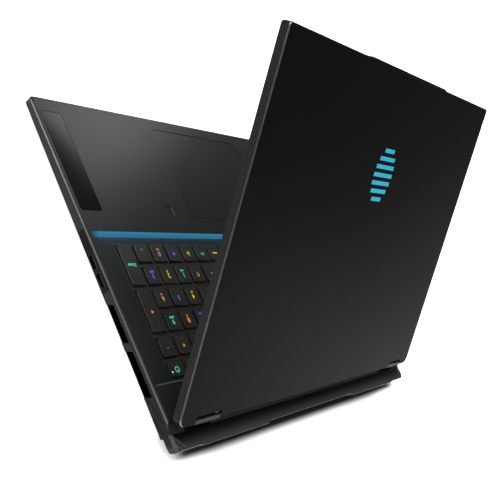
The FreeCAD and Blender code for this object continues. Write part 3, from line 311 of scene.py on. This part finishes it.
def spread(tree, source, low, high, start=NOISE_LOW, end=NOISE_HIGH, smooth=False):
    # Maps start and end of a value to low and high.
    node = add(tree, "MapRange", interpolation_type="SMOOTHSTEP" if smooth else "LINEAR")
    for name, value in [("From Min", start), ("From Max", end), ("To Min", low), ("To Max", high)]:
        node.inputs[name].default_value = value
    tree.links.new(source, node.inputs["Value"])
    return node.outputs["Result"]


def mixed(tree, share, first, second):
    node = add(tree, "Mix", data_type="RGBA")
    colour_sockets = {socket.name: socket for socket in node.inputs if socket.type == "RGBA"}
    colour_sockets["A"].default_value = (*first, 1)
    colour_sockets["B"].default_value = (*second, 1)
    tree.links.new(share, node.inputs["Factor"])
    return [socket for socket in node.outputs if socket.type == "RGBA"][0]


def math_node(tree, operation, *values):
    node = add(tree, "Math", operation=operation)
    for socket, value in zip(node.inputs, values):
        if isinstance(value, (int, float)):
            socket.default_value = value
        else:
            tree.links.new(value, socket)
    return node.outputs[0]


def bumped(tree, shader, height, distance):
    node = add(tree, "Bump")
    node.inputs["Distance"].default_value = distance
    tree.links.new(height, node.inputs["Height"])
    tree.links.new(node.outputs["Normal"], shader.inputs["Normal"])


def shade(colour, factor):
    return tuple(channel * factor for channel in colour)


# Finishes

def surface(name, colour, roughness, metallic=0.0, specular=0.5, grain=METAL_GRAIN, grain_depth=GRAIN_DEPTH,
            stretch=EVEN):
    # Even finish with slightly cloudy colour, patchy gloss and a fine grain.
    material, tree, shader = new_material(name)
    cloud = spread(tree, noise(tree, CLOUD_SCALE, CLOUD_DETAIL), 0, 1)
    tint = mixed(tree, cloud, shade(colour, 1 - COLOUR_VARIATION), shade(colour, 1 + COLOUR_VARIATION))
    tree.links.new(tint, shader.inputs["Base Color"])
    patches = noise(tree, PATCH_SCALE, PATCH_DETAIL)
    gloss = spread(tree, patches, roughness - GLOSS_VARIATION, roughness + GLOSS_VARIATION)
    tree.links.new(gloss, shader.inputs["Roughness"])
    shader.inputs["Metallic"].default_value = metallic
    shader.inputs["Specular IOR Level"].default_value = specular
    bumped(tree, shader, noise(tree, grain, stretch=stretch), grain_depth)
    return material


def tail_material_with_painted_shade():
    # Satin plastic with painted shade: black beside the hinges and greyer towards the lip.
    material, tree, shader = new_material("tail")
    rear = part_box("rear_cover")[1].y
    outward = spread(tree, axis_value(tree, Y), 0, 1, rear - TAIL_SHADE_START, rear - TAIL_SHADE_END)
    grey = math_node(tree, "POWER", outward, TAIL_SHADE_CURVE)
    tree.links.new(mixed(tree, grey, TAIL_PAINTED_SHADE, TAIL_GREY), shader.inputs["Base Color"])
    patches = noise(tree, PATCH_SCALE, PATCH_DETAIL)
    tree.links.new(spread(tree, patches, *TAIL_GLOSS), shader.inputs["Roughness"])
    shader.inputs["Specular IOR Level"].default_value = TAIL_SPECULAR
    bumped(tree, shader, noise(tree, MOULDED_GRAIN), GRAIN_DEPTH)
    return material


def glowing(name, colour):
    # Lit diffuser: fine mottling in the body colour and in the light.
    material, tree, shader = new_material(name)
    shader.inputs["Roughness"].default_value = LIT_ROUGHNESS
    fine = spread(tree, noise(tree, LIT_MOTTLE_SCALE), 0, 1)
    body = shade(colour, LIT_BODY_SHARE)
    tint = mixed(tree, fine, shade(body, 1 - LIT_BODY_VARIATION), shade(body, 1 + LIT_BODY_VARIATION))
    tree.links.new(tint, shader.inputs["Base Color"])
    tree.links.new(mixed(tree, fine, shade(colour, LIT_DIP), colour), shader.inputs["Emission Color"])
    shader.inputs["Emission Strength"].default_value = LIT_STRENGTH
    return material


def light_bar_finish():
    # Blue diffuser, brightest along its upper edge and fading towards the tray and both ends.
    material, tree, shader = new_material("light")
    low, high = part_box("light_bar")
    shader.inputs["Base Color"].default_value = (*BAR_BODY, 1)
    shader.inputs["Roughness"].default_value = BAR_ROUGHNESS
    rise = spread(tree, axis_value(tree, Z), 0, 1, low.z + BAR_FOOT, high.z - BAR_CREST)
    reach = math_node(tree, "ABSOLUTE", axis_value(tree, X))
    ends = spread(tree, reach, 1, BAR_END_LIGHT, high.x - BAR_FADE, high.x)
    fine = spread(tree, noise(tree, BAR_MOTTLE_SCALE), 1 - BAR_MOTTLE, 1 + BAR_MOTTLE)
    share = math_node(tree, "MULTIPLY", rise, fine)
    tree.links.new(mixed(tree, share, BAR_DIM, BAR_BRIGHT), shader.inputs["Emission Color"])
    tree.links.new(ends, shader.inputs["Emission Strength"])
    return material


def speaker_finish():
    # Smooth panel with rows of small round holes, made by bumps, with painted shade inside each hole.
    material, tree, shader = new_material("grille_plastic")
    rows = add(tree, "TexVoronoi")
    rows.inputs["Scale"].default_value = 1 / HOLE_PITCH
    rows.inputs["Randomness"].default_value = 0
    tree.links.new(place(tree), rows.inputs["Vector"])
    width = HOLE_WIDTH / HOLE_PITCH
    solid = spread(tree, rows.outputs["Distance"], 0, 1, HOLE_RIM_START * width, HOLE_RIM_END * width)
    tint = mixed(tree, solid, shade(SPEAKER_COLOUR, HOLE_PAINTED_SHADE), SPEAKER_COLOUR)
    tree.links.new(tint, shader.inputs["Base Color"])
    gloss = spread(tree, solid, HOLE_ROUGHNESS, SPEAKER_ROUGHNESS, 0, 1)
    tree.links.new(gloss, shader.inputs["Roughness"])
    shader.inputs["Specular IOR Level"].default_value = SPEAKER_SPECULAR
    bumped(tree, shader, solid, HOLE_DEPTH)
    return material


FINISHES = {name: surface(name, **settings) for name, settings in SURFACES.items()}
FINISHES["grille_plastic"] = speaker_finish()
FINISHES["light"] = light_bar_finish()
TAIL_MATERIAL_WITH_PAINTED_SHADE = tail_material_with_painted_shade()
EMBLEM_LIGHT = glowing("emblem_light", EMBLEM_BLUE)
POWER_LIGHT = glowing("power_light", WHITE)
LEGENDS = {name: glowing("legend_" + name, colour) for name, colour in LEGEND_COLOURS.items()}
GLOWS = {name: glowing("glow_" + name, shade(LEGEND_COLOURS[name], GLOW_SHARE)) for name in LEGEND_COLOURS}

for node, slot in SLOT_OF.items():
    NODES[node].data.materials.clear()
    NODES[node].data.materials.append(FINISHES[slot])
NODES["lid_emblem"].data.materials[0] = EMBLEM_LIGHT
NODES["fingerprint_sensor"].data.materials[0] = FINISHES["sensor"]
# The tail gets painted shade beside the hinges.
NODES["rear_cover"].data.materials[0] = TAIL_MATERIAL_WITH_PAINTED_SHADE


# New pieces

def new_piece(name, mesh, body, materials):
    piece = bpy.data.objects.new(name, mesh)
    SCENE.collection.objects.link(piece)
    for material in materials:
        mesh.materials.append(material)
    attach(piece, body)
    return piece


def clean_copy(node, scores=()):
    # The node's mesh with its flat faces whole again, ready for rounding, and divided only at the scores.
    mesh = NODES[node].data.copy()
    mesh.materials.clear()
    shape = bmesh.new()
    shape.from_mesh(mesh)
    bmesh.ops.remove_doubles(shape, verts=shape.verts, dist=SAME_POINT)
    bmesh.ops.dissolve_limit(shape, angle_limit=FLAT_ANGLE, verts=shape.verts, edges=shape.edges)
    for axis, value in scores:
        normal = Vector((0, 0, 0))
        normal[axis] = 1
        geometry = shape.verts[:] + shape.edges[:] + shape.faces[:]
        bmesh.ops.bisect_plane(shape, geom=geometry, plane_co=normal * value, plane_no=normal)
    shape.to_mesh(mesh)
    shape.free()
    return mesh


def softened(node, width, segments=2, paints=None, edge=None, scores=()):
    # The same solid with every sharp edge rounded by a small width. The paints give a test of a face for
    # each finish, and the rounded edges can have a finish of their own. Scores are places, as axis and value,
    # where flat faces are divided.
    mesh = clean_copy(node, scores)
    paints = paints or {}
    materials = [NODES[node].data.materials[0]] + [FINISHES[name] for name in paints]
    if edge:
        materials.append(FINISHES[edge])
    piece = new_piece(node + "_soft", mesh, BODY_OF[node], materials)
    for polygon in mesh.polygons:
        polygon.use_smooth = True
        for index, is_painted in enumerate(paints.values(), start=1):
            if is_painted(polygon):
                polygon.material_index = index
    rounding = piece.modifiers.new("rounding", "BEVEL")
    rounding.width = width
    rounding.segments = segments
    rounding.limit_method = "ANGLE"
    rounding.angle_limit = SHARP_ANGLE
    if edge:
        rounding.material = len(materials) - 1
    flatten = piece.modifiers.new("flatten", "WEIGHTED_NORMAL")
    flatten.weight = FLAT_FACE_WEIGHT
    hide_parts(node)


def islands(node):
    # Lowest and highest corner of each separate solid in a node, from left to right.
    shape = bmesh.new()
    shape.from_mesh(clean_copy(node))
    left = set(shape.verts)
    boxes = []
    while left:
        found = {left.pop()}
        newest = list(found)
        while newest:
            near = {edge.other_vert(vertex) for vertex in newest for edge in vertex.link_edges} - found
            found |= near
            newest = list(near)
        left -= found
        low = Vector(min(vertex.co[axis] for vertex in found) for axis in range(3))
        high = Vector(max(vertex.co[axis] for vertex in found) for axis in range(3))
        boxes.append((low, high))
    shape.free()
    return sorted(boxes, key=lambda corners: corners[0].x)


# Keys, their legends and the light that leaks round their feet

KEY_NODES = [node for node, slot in SLOT_OF.items() if slot == "key_plastic" and node != "key_frame"]
COLOUR_LETTERS = {"T": "teal", "V": "violet", "Y": "yellow", "O": "orange", "L": "lilac", "B": "beige"}

# Legends of each node from left to right, with a letter for each one's colour
LETTERS = {
    "bottom_keys": ("ctrl fn home alt alt ctrl menu ← ↓ → 0,ins .,del", "TYVOTVYTYVBL"),
    "lower_keys": ("shift Z X C V B N M , . / shift ↑", "VTYOVTYOVTYVO"),
    "home_keys": ("caps A S D F G H J K L ; ' enter", "YTVOYTVOYTVYO"),
    "upper_keys": ("tab Q W E R T Y U I O P [ ] \\", "OVTYOVTYOVTYOV"),
    "number_keys": ("` 1,! 2,@ 3,# 4,$ 5,% 6,^ 7,& 8,* 9,( 0,) -,_ =,+ back", "TVOYTVOYTVOYTV"),
    "function_keys": ("esc F1 F2 F3 F4 F5 F6 F7 F8 F9 F10 F11 F12 prt ins del calc", "YOTVYOTVYOTVYOTVY"),
    "power_key": ("⏻", "T"),
    "pad_enter": ("Enter", "T"),
    "pad_plus": ("+", "O"),
    "pad_1": ("1,end", "T"),
    "pad_2": ("2,↓", "Y"),
    "pad_3": ("3,pgdn", "V"),
    "pad_4": ("4,←", "Y"),
    "pad_5": ("5", "V"),
    "pad_6": ("6,→", "O"),
    "pad_7": ("7,home", "V"),
    "pad_8": ("8,↑", "O"),
    "pad_9": ("9,pgup", "T"),
    "pad_lock": ("num", "Y"),
    "pad_divide": ("/", "T"),
    "pad_multiply": ("*", "O"),
    "pad_minus": ("-", "V"),
}


def lettering(words, size):
    # Bold flat letters, as a closed solid centred on the origin.
    curve = bpy.data.curves.new("legend", "FONT")
    curve.body = words
    curve.size = size
    curve.align_x = "CENTER"
    curve.extrude = LEGEND_DEPTH
    curve.offset = LEGEND_WEIGHT
    curve.resolution_u = LEGEND_STEPS
    holder = bpy.data.objects.new("legend", curve)
    mesh = bpy.data.meshes.new_from_object(holder)
    heights = [vertex.co.y for vertex in mesh.vertices]
    middle = (min(heights) + max(heights)) / 2
    mesh.transform(Matrix.Translation((0, -middle, 0)))
    bpy.data.objects.remove(holder)
    bpy.data.curves.remove(curve)
    return mesh


def legend_parts(legend, tall):
    # Main sign and the small one in front of it, as meshes with their place on the key.
    main, *small = legend.split(",") if len(legend) > 1 else [legend]
    if len(main) > 1:
        size = TALL_WORD_SIZE if tall else WORD_SIZE
        return [(lettering(main, size), 0.0)]
    parts = [(lettering(main, LETTER_SIZE), LETTER_RISE)]
    parts += [(lettering(word, WORD_SIZE), -WORD_DROP) for word in small]
    return parts


def key_legends(node, shape, colours):
    # Adds one node's legends to a mesh in the making.
    words, letters = LETTERS[node]
    for (low, high), legend, letter in zip(islands(node), words.split(), letters):
        middle = (low + high) / 2
        for mesh, shift in legend_parts(legend, tall=high.y - low.y > TALL_KEY):
            mesh.transform(Matrix.Translation((middle.x, middle.y + shift, high.z + LEGEND_LIFT)))
            before = len(shape.faces)
            shape.from_mesh(mesh)
            shape.faces.ensure_lookup_table()
            for face in shape.faces[before:]:
                face.material_index = colours.index(COLOUR_LETTERS[letter])
            bpy.data.meshes.remove(mesh)


def ring_points(low, high, outset, z):
    # Rectangle round a key's foot with its corners cut off.
    x0, y0, x1, y1 = low.x - outset, low.y - outset, high.x + outset, high.y + outset
    corner = KEY_CORNER
    points = [(x0 + corner, y0), (x1 - corner, y0), (x1, y0 + corner), (x1, y1 - corner),
              (x1 - corner, y1), (x0 + corner, y1), (x0, y1 - corner), (x0, y0 + corner)]
    return [Vector((x, y, z)) for x, y in points]


def glow_ring(shape, low, high, index):
    # Thin lit band round the foot of one key.
    inner, outer = GLOW_GAP, GLOW_GAP + GLOW_THICKNESS
    foot, head = low.z, low.z + GLOW_HEIGHT
    rings = [[shape.verts.new(point) for point in ring_points(low, high, outset, z)]
             for outset, z in [(inner, foot), (outer, foot), (outer, head), (inner, head)]]
    for first, second in zip(rings, rings[1:] + rings[:1]):
        for step in range(len(first)):
            after = (step + 1) % len(first)
            face = shape.faces.new([first[step], second[step], second[after], first[after]])
            face.material_index = index


def key_glow(node, shape, colours):
    # Adds one node's lit bands to a mesh in the making.
    for (low, high), letter in zip(islands(node), LETTERS[node][1]):
        glow_ring(shape, low, high, colours.index(COLOUR_LETTERS[letter]))


def lit_piece(ending, node, finishes, fill):
    # One piece per key node with a finish for each colour that the node uses.
    letters = LETTERS[node][1]
    colours = [COLOUR_LETTERS[letter] for letter in sorted(set(letters))]
    shape = bmesh.new()
    fill(node, shape, colours)
    bmesh.ops.recalc_face_normals(shape, faces=shape.faces)
    mesh = bpy.data.meshes.new(node + ending)
    shape.to_mesh(mesh)
    shape.free()
    new_piece(node + ending, mesh, BODY_OF[node], [finishes[colour] for colour in colours])


for node in KEY_NODES:
    softened(node, KEY_ROUNDING, segments=3)
for node in LETTERS:
    lit_piece("_legend", node, LEGENDS, key_legends)
    lit_piece("_glow", node, GLOWS, key_glow)


# Finger sensor as a shallow dish with a sloping rim

def dished_sensor():
    node = "fingerprint_sensor"
    mesh = clean_copy(node)
    shape = bmesh.new()
    shape.from_mesh(mesh)
    lowest_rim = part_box(node)[1].z - SENSOR_SINK / 2
    faces = [face for face in shape.faces
             if face.normal.z > UPWARD_LEAN and face.calc_center_median().z > lowest_rim]
    bmesh.ops.inset_region(shape, faces=faces, thickness=SENSOR_RIM, depth=-SENSOR_SINK)
    shape.to_mesh(mesh)
    shape.free()
    piece = new_piece(node + "_dish", mesh, BODY_OF[node], [FINISHES["sensor"]])
    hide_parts(node)


dished_sensor()


# Small light on the power key, in a dark surround

def power_light():
    low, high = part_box("power_key")
    middle = Vector(((low.x + high.x) / 2, (low.y + high.y) / 2, high.z)) + POWER_LIGHT_SHIFT
    discs = [(POWER_SURROUND_RADIUS, POWER_SURROUND_HEIGHT, FINISHES["black"]),
             (POWER_LIGHT_RADIUS, POWER_LIGHT_HEIGHT, POWER_LIGHT)]
    for index, (radius, height, material) in enumerate(discs):
        shape = bmesh.new()
        bmesh.ops.create_cone(shape, cap_ends=True, segments=POWER_LIGHT_SIDES, radius1=radius,
                              radius2=radius, depth=2 * height, matrix=Matrix.Translation(middle))
        mesh = bpy.data.meshes.new("power_light")
        shape.to_mesh(mesh)
        shape.free()
        new_piece("power_light_%d" % index, mesh, BODY_OF["power_key"], [material])


power_light()


# Casing pieces with softened edges and painted faces

def lid_back():
    # Direction in which the lid's back faces.
    normal = max(NODES["lid_cover"].data.polygons, key=lambda polygon: polygon.area).normal.copy()
    return normal if normal.z > 0 else -normal


LID_BACK = lid_back()


def leans(polygon):
    # Neither a wall nor a flat face.
    return DECK_WALL_LEAN < polygon.normal.z < DECK_FLAT_LEAN


def is_deck_chamfer(polygon):
    # The chamfer along each side of the deck.
    return leans(polygon) and abs(polygon.center.x) > CHAMFER_INNER


def is_deck_shine(polygon):
    # Outer part of the chamfer along each side.
    return is_deck_chamfer(polygon) and abs(polygon.center.x) > SHINE_INNER


def is_tray_bevel(polygon):
    # The bevel at the rear of the keyboard tray, painted with a highlight line.
    rear = polygon.center.y > 0 and polygon.center.z > TRAY_BEVEL_FOOT
    return leans(polygon) and rear and polygon.normal.y < SIDEWAYS_LEAN


def is_deck_wall(polygon):
    # The wall along each side of the deck.
    return abs(polygon.normal.z) < DECK_WALL_LEAN and abs(polygon.center.x) > WALL_INNER


def is_side_inlay(polygon):
    # Dark band round the side sockets.
    middle = polygon.center
    return is_deck_wall(polygon) and INLAY_START < middle.y < INLAY_END and middle.z < INLAY_TOP


def is_deck_side(polygon):
    # Side wall and inner part of the chamfer, apart from the dark band.
    if is_side_inlay(polygon):
        return False
    return is_deck_wall(polygon) or is_deck_chamfer(polygon) and not is_deck_shine(polygon)


def is_tail_rail(polygon):
    # Strip along each side of the tail, and the ribs of the corner beside it.
    return polygon.normal.z > TAIL_FLAT_LEAN and abs(polygon.center.x) > RIBS_INNER


def is_tail_facet(polygon):
    # Each rear corner, where the tail's top falls away.
    return FACET_LEAN < polygon.normal.z < TAIL_FLAT_LEAN


def is_lid_chamfer(polygon):
    # The chamfer along each side of the lid's back, in metal painted light as a highlight line.
    slopes = LID_WALL_LEAN < polygon.normal.dot(LID_BACK) < LID_FLAT_LEAN
    return slopes and abs(polygon.normal.x) > SIDEWAYS_LEAN


def is_lid_side(polygon):
    # The walls round the lid.
    return abs(polygon.normal.dot(LID_BACK)) < LID_WALL_LEAN


DECK_SCORES = [(X, -SHINE_INNER), (X, SHINE_INNER), (Y, INLAY_START), (Y, INLAY_END), (Z, INLAY_TOP)]
DECK_PAINTS = {"deck_edge": is_deck_shine, "tail_edge": is_tray_bevel, "deck_side": is_deck_side,
               "side_inlay": is_side_inlay}
LID_PAINTS = {"lid_side": is_lid_side, "lid_edge": is_lid_chamfer}
TAIL_SCORES = [(X, -RAIL_INNER), (X, RAIL_INNER)]
TAIL_PAINTS = {"tail_rail": is_tail_rail, "tail_facet": is_tail_facet}
softened("keyboard_deck", DECK_ROUNDING, segments=1, paints=DECK_PAINTS, scores=DECK_SCORES)
softened("lid_cover", LID_ROUNDING, paints=LID_PAINTS)
softened("touchpad", TOUCHPAD_ROUNDING)
softened("rubber_feet", FOOT_ROUNDING, segments=3)
# The tail's rounded edges are painted with a highlight line.
softened("rear_cover", TAIL_ROUNDING, paints=TAIL_PAINTS, edge="tail_edge", scores=TAIL_SCORES)
softened("bottom_cover", COVER_ROUNDING)
softened("speaker_grille_left", SPEAKER_ROUNDING)
softened("speaker_grille_right", SPEAKER_ROUNDING)


# Floor, backdrop, light and camera

def studio_world():
    # Same for every ray: white round the horizon, dark overhead.
    world = bpy.data.worlds.new("Studio")
    SCENE.world = world
    world.use_nodes = True
    tree = world.node_tree
    background = tree.nodes["Background"]
    height = axis_value(tree, Z, "Generated")
    glow = spread(tree, height, 1.0, CEILING_LIGHT, math.sin(HORIZON_TOP), math.sin(CEILING_START))
    tree.links.new(glow, background.inputs["Strength"])
    background.inputs["Color"].default_value = (1, 1, 1, 1)


def outside_distance(tree, middle, half, stretch=Vector((1, 1))):
    # How far a floor point lies outside a rectangle, with each axis scaled by its stretch.
    squares = []
    for axis in (X, Y):
        from_middle = math_node(tree, "SUBTRACT", axis_value(tree, axis), middle[axis])
        beyond = math_node(tree, "SUBTRACT", math_node(tree, "ABSOLUTE", from_middle), half[axis])
        scaled = math_node(tree, "MULTIPLY", math_node(tree, "MAXIMUM", beyond, 0.0), stretch[axis])
        squares.append(math_node(tree, "POWER", scaled, 2.0))
    return math_node(tree, "SQRT", math_node(tree, "ADD", *squares))


def white_floor():
    bpy.ops.mesh.primitive_plane_add(size=FLOOR_SIZE, location=(0, 0, 0))
    floor = bpy.context.object
    floor.name = "floor"
    material, tree, shader = new_material("floor")
    shader.inputs["Roughness"].default_value = FLOOR_ROUGHNESS
    shader.inputs["Specular IOR Level"].default_value = FLOOR_SPECULAR
    path = add(tree, "LightPath")
    seen = math_node(tree, "MAXIMUM", path.outputs["Is Camera Ray"], path.outputs["Is Transmission Ray"])
    seen = math_node(tree, "MAXIMUM", seen, path.outputs["Is Glossy Ray"])
    away = spread(tree, outside_distance(tree, SHADOW_MIDDLE, SHADOW_HALF), 0, 1, 0, SHADOW_REACH)
    # Painted shadow: a strip under the tail where the floor's colour and glow fade to dark
    painted_shadow_distance = outside_distance(tree, PAINTED_SHADOW_MIDDLE, PAINTED_SHADOW_HALF, PAINTED_SHADOW_STRETCH)
    clear = spread(tree, painted_shadow_distance, PAINTED_SHADOW_LIGHT, 1, 0, PAINTED_SHADOW_REACH, smooth=True)
    tint = mixed(tree, clear, (0, 0, 0), (FLOOR_COLOUR, FLOOR_COLOUR, FLOOR_COLOUR))
    tree.links.new(tint, shader.inputs["Base Color"])
    lit = math_node(tree, "MULTIPLY", math_node(tree, "MULTIPLY", seen, away), clear)
    shader.inputs["Emission Color"].default_value = (1, 1, 1, 1)
    tree.links.new(lit, shader.inputs["Emission Strength"])
    floor.data.materials.append(material)


def softbox(name, stand, aim, size, power, tint=(1, 1, 1), mirrored=True):
    lamp = bpy.data.lights.new(name, "AREA")
    lamp.shape = "RECTANGLE"
    lamp.size, lamp.size_y = size
    lamp.energy = power
    lamp.color = tint
    holder = bpy.data.objects.new(name, lamp)
    SCENE.collection.objects.link(holder)
    holder.visible_glossy = mirrored
    holder.location = stand
    holder.rotation_euler = (Vector(aim) - Vector(stand)).to_track_quat("-Z", "Y").to_euler()


def bar_spill():
    low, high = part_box("light_bar")
    y = high.y - SPILL_INSET
    softbox("bar_spill", (0, y, high.z), (0, y + SPILL_THROW, low.z), SPILL_SIZE, SPILL_POWER, SPILL_TINT,
            mirrored=False)


def camera():
    data = bpy.data.cameras.new("Camera")
    data.lens = CAMERA_LENS
    data.sensor_width = CAMERA_SENSOR
    holder = bpy.data.objects.new("Camera", data)
    SCENE.collection.objects.link(holder)
    right = CAMERA_RIGHT.normalized()
    back = right.cross(CAMERA_UP).normalized()
    up = back.cross(right)
    turn = Matrix((right, up, back)).transposed()
    holder.matrix_world = Matrix.Translation(CAMERA_PLACE) @ turn.to_4x4()
    SCENE.camera = holder


studio_world()
white_floor()
for name, settings in LAMPS.items():
    softbox(name, **settings)
bar_spill()
camera()
SCENE.view_settings.view_transform = "Standard"
